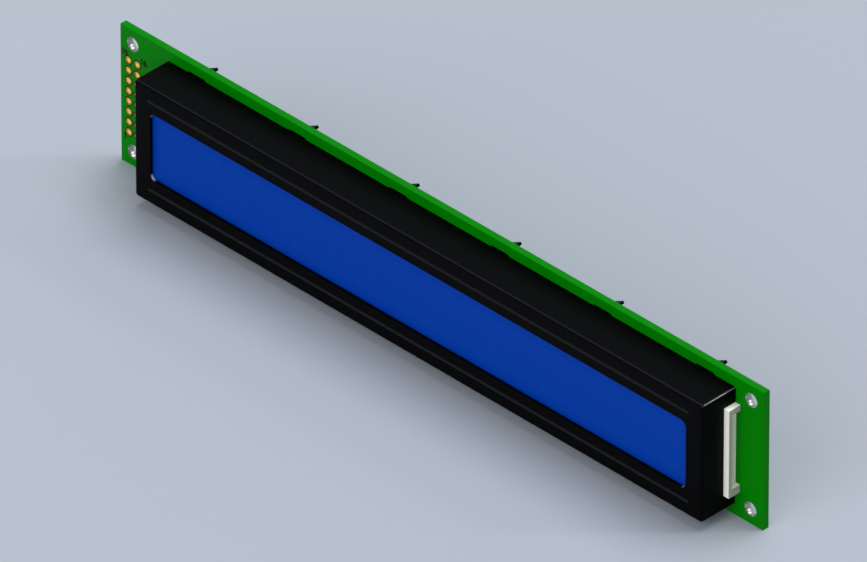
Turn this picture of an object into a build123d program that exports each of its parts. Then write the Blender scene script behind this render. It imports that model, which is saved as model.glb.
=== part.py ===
from build123d import *
from math import atan2, cos, degrees, radians, sin
import os

# Character display module, 40 characters by 2 lines, upright, all sizes in mm.
# Origin: centre of the four-hole pattern on the circuit board's front face.
# +X to the right, +Z up, and the display faces -Y. A depth is a distance in front of the board's front
# face, so it is minus Y, and depths behind that face are negative.

# Circuit board
board_length = 182.0
board_height = 33.5
board_thickness = 1.6
small_round_sides = 12
mount_hole_inset = 3.5
mount_hole_radius = 1.6
plating = 0.06

# Header: two columns of plated holes at the left end
header_pitch = 2.54
header_columns = 2
header_rows = 8
header_inset = 2.27
header_hole_radius = 0.5
header_ring_radius = 0.85
copper = 0.04

# Bezel, one drawn sheet. Its margins are measured from the board's edges, the rest from its own edges.
bezel_left_margin = 13.4
bezel_right_margin = 7.8
bezel_side_margin = 2.4
bezel_depth = 9.4
sheet = 0.6
corner_radius = 0.8
bend_inner_radius = 0.1
window_end_frame = 4.6
window_side_frame = 6.15
window_corner_radius = 1.5
bead_end_inset = 3.85
bead_side_inset = 3.52
bead_width = 0.7
bead_wall_angle = 25.0

# Lock tabs of the bezel and their slots in the board
tab_count = 6
tab_end_inset = 8.5
tab_width = 4.0
tab_reach = 2.8
tab_twist = 28.0
tab_twist_length = 0.9
tab_twist_steps = 3
slot_end_gap = 0.7
slot_side_gap = 0.35

# Liquid crystal cell
glass = 1.1
polariser = 0.25
film_recess = 0.25
cell_gap = 0.05
glass_side_gap = 0.25
glass_end_gap = 0.6
glass_end_step = 0.6
rear_glass_inset = 0.1
window_cover = 1.8
bead_clearance = 0.23
rear_polariser_margin = 0.5
seal_margin = 0.8
seal_width = 1.0
fill_port_radius = 1.4
fill_port_bulge = 0.5

# Rubber contact strips and the contact pads below them
strip_thickness = 2.4
strip_end_gap = 4.8
strip_inner_gap = 0.3
strip_outer_gap = 0.37
pad_count = 45
pad_width = 1.2
pad_overhang = 0.15

# Backlight
housing_wall = 1.0
housing_floor = 1.2
housing_end_gap = 0.4
ledge_depth = 3.2
ledge_overhang = 1.36
ledge_front_wall = 0.85
ledge_top_wall = 1.45
ledge_bottom_wall = 1.95
ledge_pocket_depth = 1.21
notch_gap = 0.15
reflector = 0.15
diffuser = 0.2
film_gap = 0.1
led_board_thickness = 0.8
led_board_gap = 0.3
led_count = 3
led_pin_gap = 0.2
led_thickness = 0.9
led_length = 3.0
led_depth = 1.8
led_cup_wall = 0.3
led_cup_depth = 0.35
guide_gap = 0.2
pin_size = 0.6
pin_edge = 1.3
pin_height = 2.6
pin_tail = 1.0
pin_hole_gap = 0.15
solder_radius = 0.95
solder_height = 0.8

# Parts on the back of the board
blob_end_inset = 22.4
controller_radius = 7.6
driver_radius = 6.4
driver_count = 4
blob_height = 1.5
blob_foot = 0.3
blob_rings = 3
blob_sides = 24
chip_length = 2.0
chip_width = 1.25
resistor_height = 0.5
capacitor_height = 0.85
cap_wall = 0.05
cap_length = 0.4
fillet_reach = 0.35
fillet_rise = 0.6
chip_row_gap = 2.8
bias_resistor_count = 5
backlight_resistor_count = 2
jumper_length = 1.3
jumper_width = 1.0
jumper_gap = 0.35
jumper_spacing = 2.0
jumper_count = 4

# Places worked out from the sizes above
board_left = -board_length / 2
mount_spacing_x = board_length - 2 * mount_hole_inset
mount_spacing_z = board_height - 2 * mount_hole_inset
bezel_length = board_length - bezel_left_margin - bezel_right_margin
bezel_height = board_height - 2 * bezel_side_margin
bezel_shift = (bezel_left_margin - bezel_right_margin) / 2
bezel_right = bezel_shift + bezel_length / 2
window_length = bezel_length - 2 * window_end_frame
window_height = bezel_height - 2 * window_side_frame
bead_length = bezel_length - 2 * bead_end_inset
bead_spacing = bezel_height - 2 * bead_side_inset
bend_radius = bend_inner_radius + sheet
inner_length = bezel_length - 2 * sheet
inner_height = bezel_height - 2 * sheet
inner_depth = bezel_depth - sheet
bead_depth = film_recess + polariser
tab_z = (bezel_height - sheet) / 2
tab_pitch = (bezel_length - 2 * tab_end_inset) / (tab_count - 1)
slot_length = tab_width + 2 * slot_end_gap
slot_height = sheet + 2 * slot_side_gap
film_front = inner_depth - film_recess
glass_front = film_front - polariser
ledge_level = glass_front - glass
rear_glass_front = ledge_level - cell_gap
rear_glass_back = rear_glass_front - glass
rim_level = rear_glass_back - polariser
front_glass_length = inner_length - 2 * glass_end_gap
front_glass_height = inner_height - 2 * glass_side_gap
rear_glass_length = front_glass_length - 2 * glass_end_step
housing_height = inner_height - 2 * (strip_thickness + strip_inner_gap + strip_outer_gap)
rear_glass_height = housing_height - 2 * rear_glass_inset
front_polariser_length = window_length + 2 * window_cover
front_polariser_height = bead_spacing - bead_width - sheet - 2 * bead_clearance
seal_length = rear_glass_length - 2 * seal_margin
seal_height = rear_glass_height - 2 * seal_margin
guide_front = rim_level - diffuser
guide_back = housing_floor + reflector
housing_length = inner_length - 2 * housing_end_gap
cavity_length = housing_length - 2 * housing_wall
cavity_height = housing_height - 2 * housing_wall
end_stack = led_board_thickness + led_thickness + guide_gap
guide_length = cavity_length - 2 * end_stack
guide_height = cavity_height - 2 * film_gap
strip_length = inner_length - 2 * strip_end_gap
strip_z = housing_height / 2 + strip_inner_gap + strip_thickness / 2
led_board_height = cavity_height - 2 * led_board_gap
pin_spacing = led_board_height - 2 * pin_edge
led_pitch = (pin_spacing - pin_size - 2 * led_pin_gap - led_length) / (led_count - 1)
back_level = -board_thickness
pin_hole_radius = pin_size / 2 * 2**0.5 + pin_hole_gap
# A pin stands against the inner face of its diode board
pin_x = cavity_length / 2 - led_board_thickness - pin_size / 2
blob_pitch = (bezel_length - 2 * blob_end_inset) / driver_count
# The row of chips lies above or below the largest resin drop
chip_row_z = controller_radius + chip_row_gap


def layer(depth):
    """A plane parallel to the display: its x is +X, its y is +Z and its normal points at the viewer."""
    return Plane(origin=(0, -depth, 0), x_dir=(1, 0, 0), z_dir=(0, -1, 0))


def sheet_of(outline, back, front, x=0.0, z=0.0):
    """An outline drawn in X and Z, made solid from one depth to another."""
    return extrude(layer(back) * Pos(x, z) * outline, front - back)


def grid(count_x, pitch_x, count_z=1, pitch_z=0.0, x=0.0, z=0.0):
    """Places of a centred grid, as (x, z) pairs."""
    left = x - pitch_x * (count_x - 1) / 2
    low = z - pitch_z * (count_z - 1) / 2
    return [(left + pitch_x * i, low + pitch_z * j) for i in range(count_x) for j in range(count_z)]


def round_bar(radius, back, front, x, z):
    return sheet_of(Circle(radius), back, front, x, z)


mount_places = grid(2, mount_spacing_x, 2, mount_spacing_z)
header_x = board_left + header_inset + header_pitch * (header_columns - 1) / 2
header_places = grid(header_columns, header_pitch, header_rows, header_pitch, x=header_x)
tab_places = grid(tab_count, tab_pitch, 2, 2 * tab_z, x=bezel_shift)
pin_places = grid(2, 2 * pin_x, 2, pin_spacing, x=bezel_shift)


def small_round(radius):
    """The outline of a small hole or ring. These repeat many times, so they have a few flat sides."""
    turn = 180 / small_round_sides
    return RegularPolygon(radius, small_round_sides, major_radius=False, rotation=turn)


def tab_slot():
    """A routed slot with round ends, a little larger all round than the tab that passes through it."""
    straight = slot_length - slot_height
    slot = Rectangle(straight, slot_height)
    for x, z in grid(2, straight):
        slot += Pos(x, z) * small_round(slot_height / 2)
    return slot


def circuit_board():
    board = sheet_of(Rectangle(board_length, board_height), back_level, 0.0)
    header_hole = small_round(header_hole_radius + plating)
    cuts = [round_bar(mount_hole_radius + plating, back_level, 0.0, x, z) for x, z in mount_places]
    cuts += [sheet_of(header_hole, back_level, 0.0, x, z) for x, z in header_places]
    cuts += [sheet_of(small_round(pin_hole_radius), back_level, 0.0, x, z) for x, z in pin_places]
    cuts += [sheet_of(tab_slot(), back_level, 0.0, x, z) for x, z in tab_places]
    return board - cuts


def mounting_hole_barrels():
    ring = Circle(mount_hole_radius + plating) - Circle(mount_hole_radius)
    return [sheet_of(ring, back_level, 0.0, x, z) for x, z in mount_places]


def header_eyelets():
    """Plated barrel with a thin ring on each face of the board, like a spool with a hole through it."""
    hole = small_round(header_hole_radius)
    barrel = small_round(header_hole_radius + plating) - hole
    ring = small_round(header_ring_radius) - hole
    eyelet = sheet_of(barrel, back_level, 0.0)
    eyelet += sheet_of(ring, 0.0, copper)
    eyelet += sheet_of(ring, back_level - copper, back_level)
    return [Pos(x, 0, z) * eyelet for x, z in header_places]


def contact_pads(side):
    """Gold plated fingers under one rubber strip, printed flat on the board."""
    pad = Rectangle(pad_width, strip_thickness + 2 * pad_overhang)
    pitch = (strip_length - pad_width) / (pad_count - 1)
    places = grid(pad_count, pitch, x=bezel_shift, z=side * strip_z)
    return [sheet_of(pad, 0.0, copper, x, z) for x, z in places]


def pressed_beads(shell):
    """Press both beads: a groove in the front face, and the same metal standing in as a ridge behind it."""
    groove_mouth = SlotOverall(bead_length, bead_width)
    ridge_mouth = SlotOverall(bead_length + sheet, bead_width + sheet)
    for x, z in grid(1, 0.0, 2, bead_spacing, x=bezel_shift):
        place = Pos(x, z)
        shell += extrude(layer(inner_depth) * place * ridge_mouth, -bead_depth, taper=bead_wall_angle)
        shell -= extrude(layer(bezel_depth) * place * groove_mouth, -bead_depth, taper=bead_wall_angle)
    return shell


def stacked(rings):
    """A solid from rings of corners, one behind the other, with two flat facets between neighbours."""
    count = len(rings[0])
    faces = [Face(Wire.make_polygon(rings[0])), Face(Wire.make_polygon(rings[-1]))]
    for near, far in zip(rings, rings[1:]):
        for k in range(count):
            a, b, c, d = near[k], near[(k + 1) % count], far[(k + 1) % count], far[k]
            faces += [Face(Wire.make_polygon([a, b, c])), Face(Wire.make_polygon([a, c, d]))]
    return Solid(Shell(faces))


def lock_tab():
    """A straight neck through the board, a stretch twisted in flat facets, and an end turned out of line."""
    turn = tab_twist / tab_twist_steps
    drop = tab_twist_length / tab_twist_steps
    stations = [(0.0, 0.0)]
    stations += [(back_level - drop * i, turn * i) for i in range(tab_twist_steps + 1)]
    stations += [(back_level - tab_reach, tab_twist)]
    wide, thick = tab_width / 2, sheet / 2
    corners = [(wide, thick), (-wide, thick), (-wide, -thick), (wide, -thick)]
    rings = []
    for depth, angle in stations:
        station = layer(depth) * Rot(0, 0, angle)
        rings.append([(station * Pos(x, z)).position for x, z in corners])
    return stacked(rings)


def bezel():
    outer = sheet_of(Rectangle(bezel_length, bezel_height), 0.0, bezel_depth, bezel_shift)
    outer = fillet(outer.edges().filter_by(Axis.Y), corner_radius)
    outer = fillet(outer.faces().sort_by(Axis.Y)[0].edges(), bend_radius)
    hollow = sheet_of(Rectangle(inner_length, inner_height), 0.0, inner_depth, bezel_shift)
    hollow = fillet(hollow.faces().sort_by(Axis.Y)[0].edges(), bend_inner_radius)
    window = RectangleRounded(window_length, window_height, window_corner_radius)
    shell = pressed_beads(outer - hollow)
    shell -= sheet_of(window, 0.0, bezel_depth, bezel_shift)
    notch = Rectangle(2 * sheet, housing_height + 2 * notch_gap)
    shell -= sheet_of(notch, 0.0, ledge_depth + notch_gap, bezel_right)
    tab = lock_tab()
    return shell + [Pos(x, 0, z) * tab for x, z in tab_places]


def front_polariser():
    film = Rectangle(front_polariser_length, front_polariser_height)
    return sheet_of(film, glass_front, film_front, bezel_shift)


def front_glass():
    pane = Rectangle(front_glass_length, front_glass_height)
    return sheet_of(pane, ledge_level, glass_front, bezel_shift)


def seal_opening():
    return Rectangle(seal_length - 2 * seal_width, seal_height - 2 * seal_width)


def cell_seal():
    ring = Rectangle(seal_length, seal_height) - seal_opening()
    return sheet_of(ring, rear_glass_front, ledge_level, bezel_shift)


def liquid_crystal_layer():
    return sheet_of(seal_opening(), rear_glass_front, ledge_level, bezel_shift)


def fill_port_plug():
    """A drop of resin on the left edge of the rear glass, where the cell was filled."""
    edge = bezel_shift - rear_glass_length / 2
    right_half = Pos(fill_port_bulge, 0) * Rectangle(2 * fill_port_bulge, 2 * fill_port_radius)
    drop = Ellipse(fill_port_bulge, fill_port_radius) - right_half
    return sheet_of(drop, rear_glass_back, ledge_level, edge)


def rear_glass():
    pane = Rectangle(rear_glass_length, rear_glass_height)
    return sheet_of(pane, rear_glass_back, rear_glass_front, bezel_shift)


def rear_polariser():
    length = rear_glass_length - 2 * rear_polariser_margin
    film = Rectangle(length, rear_glass_height - 2 * rear_polariser_margin)
    return sheet_of(film, rim_level, rear_glass_back, bezel_shift)


def diffuser_film():
    film = Rectangle(guide_length, guide_height)
    return sheet_of(film, guide_front, rim_level, bezel_shift)


def light_guide():
    block = Rectangle(guide_length, guide_height)
    return sheet_of(block, guide_back, guide_front, bezel_shift)


def reflector_film():
    film = Rectangle(guide_length, guide_height)
    return sheet_of(film, housing_floor, guide_back, bezel_shift)


def backlight_housing():
    """Moulded tray, with a low ledge at its right end that stands out through the bezel's notch."""
    tray = sheet_of(Rectangle(housing_length, housing_height), 0.0, rim_level, bezel_shift)
    tray -= sheet_of(Rectangle(cavity_length, cavity_height), housing_floor, rim_level, bezel_shift)
    ledge_left = bezel_shift + housing_length / 2
    ledge_right = bezel_right + ledge_overhang
    ledge_length = ledge_right - ledge_left
    ledge_mid = (ledge_left + ledge_right) / 2
    tray += sheet_of(Rectangle(ledge_length, housing_height), 0.0, ledge_depth, ledge_mid)
    pocket_height = housing_height - ledge_top_wall - ledge_bottom_wall
    pocket = Rectangle(ledge_pocket_depth, pocket_height)
    pocket_x = ledge_right - ledge_pocket_depth / 2
    pocket_z = (ledge_bottom_wall - ledge_top_wall) / 2
    tray -= sheet_of(pocket, 0.0, ledge_depth - ledge_front_wall, pocket_x, pocket_z)
    pin_hole = small_round(pin_hole_radius)
    return tray - [sheet_of(pin_hole, 0.0, housing_floor, x, z) for x, z in pin_places]


def both_ends(piece):
    """The piece at the right end of the backlight, and its mirror image at the left end."""
    return [Pos(bezel_shift, 0, 0) * piece, Pos(bezel_shift, 0, 0) * mirror(piece, Plane.YZ)]


def led_boards():
    edge = Rectangle(led_board_thickness, led_board_height)
    x = cavity_length / 2 - led_board_thickness / 2
    return both_ends(sheet_of(edge, housing_floor, rim_level - led_board_gap, x))


def backlight_leds():
    """Side-view diodes: a white body with a shallow cup that faces the light guide."""
    mid = (guide_front + guide_back) / 2
    x = cavity_length / 2 - led_board_thickness - led_thickness / 2
    body = Box(led_thickness, led_depth, led_length)
    cup = Box(led_cup_depth, led_depth - 2 * led_cup_wall, led_length - 2 * led_cup_wall)
    body -= Pos(-(led_thickness - led_cup_depth) / 2, 0, 0) * cup
    leds = []
    for _, z in grid(1, 0.0, led_count, led_pitch):
        leds += both_ends(Pos(x, -mid, z) * body)
    return leds


def backlight_pins():
    bar = Rectangle(pin_size, pin_size)
    return [sheet_of(bar, back_level - pin_tail, housing_floor + pin_height, x, z) for x, z in pin_places]


def pin_solder_joints():
    """Solder that fills the plated hole round each pin and rises up it in a cone behind the board."""
    lean = degrees(atan2(solder_radius - pin_hole_radius, solder_height))
    fill = sheet_of(small_round(pin_hole_radius), back_level, 0.0)
    cone = extrude(layer(back_level) * small_round(solder_radius), -solder_height, taper=lean)
    bar = Rectangle(pin_size, pin_size)
    joint = fill + cone - sheet_of(bar, back_level - solder_height, 0.0)
    return [Pos(x, 0, z) * joint for x, z in pin_places]


def zebra_strip(side):
    """Layered rubber strip, squeezed between the board's contact pads and the front glass's ledge."""
    bar = Rectangle(strip_length, strip_thickness)
    return sheet_of(bar, copper, ledge_level, bezel_shift, side * strip_z)


blob_places = grid(driver_count + 1, blob_pitch, x=bezel_shift)


def resin_drop(radius, x, z):
    """A drop of resin that has set: a steep foot, then a crown of flat facets along a quarter ellipse.

    A ring stands radius * cos(t) from the middle and rises with sin(t). The last one ends in a flat top.
    """
    turns = [radians(90 * i / (blob_rings + 1)) for i in range(blob_rings + 1)]
    crown = (blob_height - blob_foot) / sin(turns[-1])
    stations = [(0.0, radius)]
    stations += [(blob_foot + crown * sin(turn), radius * cos(turn)) for turn in turns]
    rings = []
    for height, reach in stations:
        station = layer(back_level - height) * Pos(x, z)
        spokes = [station * Rot(0, 0, 360 * k / blob_sides) for k in range(blob_sides)]
        rings.append([(spoke * Pos(reach, 0)).position for spoke in spokes])
    return stacked(rings)


def controller_blob():
    x, z = blob_places[0]
    return resin_drop(controller_radius, x, z)


def driver_blobs():
    return [resin_drop(driver_radius, x, z) for x, z in blob_places[1:]]


# Chips lie along X. Bias resistors sit below the controller, and each resin drop has a capacitor above it.
chip_pitch = 2 * chip_length
resistor_places = grid(bias_resistor_count, chip_pitch, x=blob_places[0][0], z=-chip_row_z)
resistor_places += grid(backlight_resistor_count, chip_pitch, x=blob_places[-1][0], z=-chip_row_z)
capacitor_places = [(x, chip_row_z) for x, _ in blob_places]


def chip_body(height, x, z):
    bar = Rectangle(chip_length - 2 * cap_wall, chip_width)
    return sheet_of(bar, back_level - height + cap_wall, back_level - copper, x, z)


def chip_resistors():
    return [chip_body(resistor_height, x, z) for x, z in resistor_places]


def chip_capacitors():
    return [chip_body(capacitor_height, x, z) for x, z in capacitor_places]


def end_caps(height, x, z):
    """Metal caps that wrap both ends of a chip, from its pads to its top."""
    ends = Rectangle(chip_length, chip_width) - Rectangle(chip_length - 2 * cap_length, chip_width)
    wrapped = sheet_of(ends, back_level - height, back_level, x, z)
    return (wrapped - chip_body(height, x, z)).solids()


def chip_end_caps():
    caps = []
    for x, z in resistor_places:
        caps += end_caps(resistor_height, x, z)
    for x, z in capacitor_places:
        caps += end_caps(capacitor_height, x, z)
    return caps


def chip_solder_fillets():
    """A wedge of solder at each end of a chip, from the pad up to half the cap's height."""
    wedges = []
    chips = [(x, z, resistor_height) for x, z in resistor_places]
    chips += [(x, z, capacitor_height) for x, z in capacitor_places]
    for x, z, height in chips:
        foot = chip_length / 2
        corners = [(foot, back_level), (foot + fillet_reach, back_level)]
        corners += [(foot, back_level - fillet_rise * height)]
        face = make_face(Polyline(*[(r, -d) for r, d in corners], close=True))
        wedge = extrude(Pos(0, 0, -chip_width / 2) * face, chip_width)
        wedges += [Pos(x, 0, z) * wedge, Pos(x, 0, z) * mirror(wedge, Plane.YZ)]
    return wedges


def jumper_pads():
    """Pairs of bare tinned pads that select the module's options."""
    pad = Rectangle(jumper_length, jumper_width)
    between = (blob_places[0][0] + blob_places[1][0]) / 2
    places = []
    for x, z in grid(jumper_count, 2 * jumper_length + jumper_spacing, x=between, z=chip_row_z):
        places += grid(2, jumper_length + jumper_gap, x=x, z=z)
    return [sheet_of(pad, back_level - copper, back_level, x, z) for x, z in places]


nodes = {
    "circuit_board": circuit_board(),
    "mounting_hole_barrels": mounting_hole_barrels(),
    "header_eyelets": header_eyelets(),
    "upper_contact_pads": contact_pads(1),
    "lower_contact_pads": contact_pads(-1),
    "bezel": bezel(),
    "front_polariser": front_polariser(),
    "front_glass": front_glass(),
    "cell_seal": cell_seal(),
    "liquid_crystal_layer": liquid_crystal_layer(),
    "fill_port_plug": fill_port_plug(),
    "rear_glass": rear_glass(),
    "rear_polariser": rear_polariser(),
    "diffuser_film": diffuser_film(),
    "light_guide": light_guide(),
    "reflector_film": reflector_film(),
    "backlight_housing": backlight_housing(),
    "led_boards": led_boards(),
    "backlight_leds": backlight_leds(),
    "backlight_pins": backlight_pins(),
    "pin_solder_joints": pin_solder_joints(),
    "upper_zebra_strip": zebra_strip(1),
    "lower_zebra_strip": zebra_strip(-1),
    "controller_blob": controller_blob(),
    "driver_blobs": driver_blobs(),
    "chip_resistors": chip_resistors(),
    "chip_capacitors": chip_capacitors(),
    "chip_end_caps": chip_end_caps(),
    "chip_solder_fillets": chip_solder_fillets(),
    "jumper_pads": jumper_pads(),
}

os.makedirs("parts", exist_ok=True)
for name, shape in nodes.items():
    solids = shape if isinstance(shape, list) else [shape]
    export_step(Compound(children=solids) if len(solids) > 1 else solids[0], f"parts/{name}.step")
    print(name, len(solids))
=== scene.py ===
# %% [markdown]
# A character display module, dressed for its portrait.
# The object is a long green circuit board with a black steel bezel locked to it. Behind the bezel's window
# lie a blue display face, two glasses and an edge-lit backlight. The imported model already holds every
# solid piece at its real size, so this lesson adds surfaces, inks, copper tracks, light and a camera.
# We begin by loading that model, and read the boxes of its pieces where sizes are needed.

import math

import bmesh
import bpy
import numpy as np
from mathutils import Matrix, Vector


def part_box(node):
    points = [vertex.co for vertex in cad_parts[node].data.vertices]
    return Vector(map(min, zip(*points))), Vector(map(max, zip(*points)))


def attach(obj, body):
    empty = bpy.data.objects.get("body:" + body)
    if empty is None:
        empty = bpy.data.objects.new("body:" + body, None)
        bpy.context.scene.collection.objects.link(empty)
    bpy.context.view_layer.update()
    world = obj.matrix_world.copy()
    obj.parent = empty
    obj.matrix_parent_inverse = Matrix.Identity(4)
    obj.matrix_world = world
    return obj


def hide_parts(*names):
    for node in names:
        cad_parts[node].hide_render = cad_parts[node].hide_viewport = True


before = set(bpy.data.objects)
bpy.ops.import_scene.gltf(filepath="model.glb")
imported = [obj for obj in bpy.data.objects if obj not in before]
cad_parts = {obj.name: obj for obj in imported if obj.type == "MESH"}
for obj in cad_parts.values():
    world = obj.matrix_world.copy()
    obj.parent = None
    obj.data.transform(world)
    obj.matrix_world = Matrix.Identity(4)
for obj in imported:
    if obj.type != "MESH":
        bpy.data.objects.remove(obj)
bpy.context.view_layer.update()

# %% [markdown]
# Sizes in this file are written in millimetres, as on a drawing, and turned to metres in one place.
# The picture that we follow is an isometric drawing, which has no perspective at all. An orthographic
# camera would show the same, but it can't step back when another view has to take in the whole object.
# A very long lens far away comes within about two pixels of it, and a small shift along the board
# shares those between the near end and the far one. The scale and the aim were measured from the
# board's corners in the drawing.

# %% The camera
MM = 0.001
IMAGE_WIDTH = 867
SENSOR_WIDTH = 36.0
LENS = 1000.0
NEAREST_METRES = 0.1
FURTHEST_METRES = 100.0
PIXELS_PER_MM = 4.9886
AIM = np.array([-2.27, 0.0, -2.28])
BALANCE = np.array([0.77, 0.0, 0.0])
TOWARDS_CAMERA = np.array([1.0, -1.0, 1.0]) / math.sqrt(3)

distance = IMAGE_WIDTH / PIXELS_PER_MM * LENS / SENSOR_WIDTH
lens_data = bpy.data.cameras.new("long_lens")
lens_data.lens = LENS
lens_data.sensor_width = SENSOR_WIDTH
lens_data.clip_start = NEAREST_METRES
lens_data.clip_end = FURTHEST_METRES
camera = bpy.data.objects.new("camera", lens_data)
camera.location = (AIM + BALANCE + TOWARDS_CAMERA * distance) * MM
camera.rotation_mode = "QUATERNION"
camera.rotation_quaternion = Vector(-TOWARDS_CAMERA).to_track_quat("-Z", "Y")
bpy.context.scene.collection.objects.link(camera)
bpy.context.scene.camera = camera
print("camera distance in metres", round(distance * MM, 3))

# %% [markdown]
# Light in a studio comes from large soft sources. A sun lamp with a wide disc does the same work as a big
# softbox, and it lights the floor evenly out to its edge. Its strength divided by pi is the share of a
# white card's brightness that it gives, so strengths are worked out from the brightness that each face
# should have: the drawing shows the top of the board a third brighter than its front, and its right
# edge at about six tenths. The main lamp stands low at the front, a little to the right. The overhead
# one stands slightly behind the object, brightens the tops and lays a short soft shadow under the bezel,
# which is dark because most of the floor's light comes from there. A small third one draws the thin
# bright line along the bezel's upper right bend, and a weak low one behind keeps the back from going dim.

# %% Lamps
def lamp(name, towards, share, disc_degrees):
    """Add a sun lamp that shines from a direction, gives that share of white, and has a disc that wide."""
    data = bpy.data.lights.new(name, "SUN")
    data.energy = share * math.pi
    data.angle = math.radians(disc_degrees)
    sun = bpy.data.objects.new(name, data)
    sun.rotation_mode = "QUATERNION"
    sun.rotation_quaternion = Vector(towards).to_track_quat("Z", "Y")
    bpy.context.scene.collection.objects.link(sun)


lamp("main_softbox", (0.2, -0.9, 0.38), 0.79, 70)
lamp("overhead_softbox", (0.05, 0.24, 0.97), 0.74, 40)
lamp("rim_lamp", (1.0, 1.0, 1.0), 0.13, 8)
lamp("back_softbox", (-0.3, 0.95, 0.1), 0.18, 60)
print("lamps", [light.name for light in bpy.data.lights])

# %% [markdown]
# Colours are easiest to choose as they look on a screen, so they are written as hex codes. A renderer adds
# up light, and needs numbers in proportion to it, so one function turns every code into such numbers.
# Materials and the world are made of nodes. They could be joined by hand in the node editor, but code can
# be read and run again. One small function is enough: it adds a node, sets it up and links its inputs.

# %% Colours and nodes
BACKDROP = "#BAC3D0"


def srgb(code):
    """Turn a hex colour, as seen on a screen, into linear red, green and blue, with an alpha of one."""
    seen = np.array([int(code[i:i + 2], 16) for i in (1, 3, 5)]) / 255
    linear = np.where(seen <= 0.04045, seen / 12.92, ((seen + 0.055) / 1.055) ** 2.4)
    return (*linear.tolist(), 1.0)


def add(tree, kind, settings=None, sockets=None):
    """Add a shader node. Settings are its own properties, sockets its inputs: a value or an output."""
    node = tree.nodes.new("ShaderNode" + kind)
    for name, value in (settings or {}).items():
        setattr(node, name, value)
    for name, value in (sockets or {}).items():
        if isinstance(value, bpy.types.NodeSocket):
            tree.links.new(value, node.inputs[name])
        else:
            node.inputs[name].default_value = value
    return node


print("backdrop in linear light", srgb(BACKDROP))

# %% [markdown]
# What the lamps leave dark is filled by the world. As plain white at a quarter of full strength it stands
# for light that the studio's walls throw back. A brighter world would look right behind the object, but
# it would wash out every shadow. So the camera, glass and reflections see the backdrop's own pale colour
# there instead, and the Light Path node tells them apart by the kind of ray.

# %% The world
FILL_STRENGTH = 0.24

world = bpy.data.worlds.new("studio")
bpy.context.scene.world = world
world.use_nodes = True
sky = world.node_tree
sky.nodes.clear()
rays = add(sky, "LightPath")
direct = add(sky, "Math", {"operation": "MAXIMUM"},
             {0: rays.outputs["Is Camera Ray"], 1: rays.outputs["Is Transmission Ray"]})
shown = add(sky, "Math", {"operation": "MAXIMUM"},
            {0: direct.outputs[0], 1: rays.outputs["Is Glossy Ray"]})
fill = add(sky, "Background", sockets={"Color": (1, 1, 1, 1), "Strength": FILL_STRENGTH})
backdrop = add(sky, "Background", sockets={"Color": srgb(BACKDROP), "Strength": 1.0})
either = add(sky, "MixShader", sockets={0: shown.outputs[0], 1: fill.outputs[0], 2: backdrop.outputs[0]})
add(sky, "OutputWorld", sockets={"Surface": either.outputs[0]})
bpy.context.scene.view_settings.view_transform = "Standard"
print("the world fills with", FILL_STRENGTH, "of white")

# %% [markdown]
# Most surfaces here are flat, so what the eye reads is their colour, their gloss and a very fine grain.
# Each finish starts from a plain glossy shader. A pattern that should follow the object reads Object
# coordinates, multiplied by a thousand so that one unit is a millimetre. Then a noise with a grain of
# half a millimetre has a scale of two, and the numbers in the nodes are real sizes.

# %% A finish and its millimetre coordinates
def start_finish(name, sockets):
    """A new material of one shader. Returns it, its node tree, the shader and the places in mm."""
    material = bpy.data.materials.new(name)
    material.use_nodes = True
    tree = material.node_tree
    tree.nodes.clear()
    shader = add(tree, "BsdfPrincipled", sockets=sockets)
    add(tree, "OutputMaterial", sockets={"Surface": shader.outputs[0]})
    place = add(tree, "TexCoord")
    in_mm = add(tree, "Mapping",
                sockets={"Vector": place.outputs["Object"], "Scale": (1 / MM, 1 / MM, 1 / MM)})
    return material, tree, shader, in_mm.outputs[0]


dressed = {}


def dress(material, *nodes):
    """Give the object of each CAD node this finish in place of its own."""
    for node in nodes:
        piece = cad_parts[node]
        piece.data.materials.clear()
        piece.data.materials.append(material)
        dressed[node] = material.name


# %% [markdown]
# No real surface has one even colour. Paint, plastic and metal all vary a little, in patches of a size
# that belongs to how they were made. A separate texture for colour, relief and gloss is possible, but in
# a real surface the three go together, so one noise drives them all.

# %% Grain
def grain(tree, shader, in_mm, size_mm, colours, relief_mm, gloss=None, detail=3.0):
    """Cloudy variation of one size: two colours, a relief that high, and a range of roughness.

    Returns the outputs that carry them, by name, for finishes that build on them.
    """
    noise = add(tree, "TexNoise", sockets={"Vector": in_mm, "Scale": 1 / size_mm, "Detail": detail})
    tint = add(tree, "Mix", {"data_type": "RGBA"},
               {"Factor": noise.outputs[0], "A": srgb(colours[0]), "B": srgb(colours[1])})
    bump = add(tree, "Bump", sockets={"Height": noise.outputs[0], "Distance": relief_mm * MM})
    made = {"colour": tint.outputs["Result"], "relief": bump.outputs[0]}
    tree.links.new(made["colour"], shader.inputs["Base Color"])
    tree.links.new(made["relief"], shader.inputs["Normal"])
    if gloss:
        rough = add(tree, "MapRange",
                    sockets={"Value": noise.outputs[0], "To Min": gloss[0], "To Max": gloss[1]})
        made["gloss"] = rough.outputs[0]
        tree.links.new(made["gloss"], shader.inputs["Roughness"])
    return made


def grained_finish(name, sockets, *grain_values):
    """A finish that needs nothing but its grain, in the order above. Returns the material."""
    material, tree, shader, in_mm = start_finish(name, sockets)
    grain(tree, shader, in_mm, *grain_values)
    return material


# %% [markdown]
# The circuit board is glass cloth and epoxy under a green lacquer, the solder mask, which is poured on and
# cured. It is smooth and a little glossy, with slow clouds where it is thicker. The cloth's threads, about
# half a millimetre apart, show through it as a faint weave. A brick texture could draw them, but the
# product of two wave textures, one along the board and one up it, is closer to a plain weave.

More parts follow.
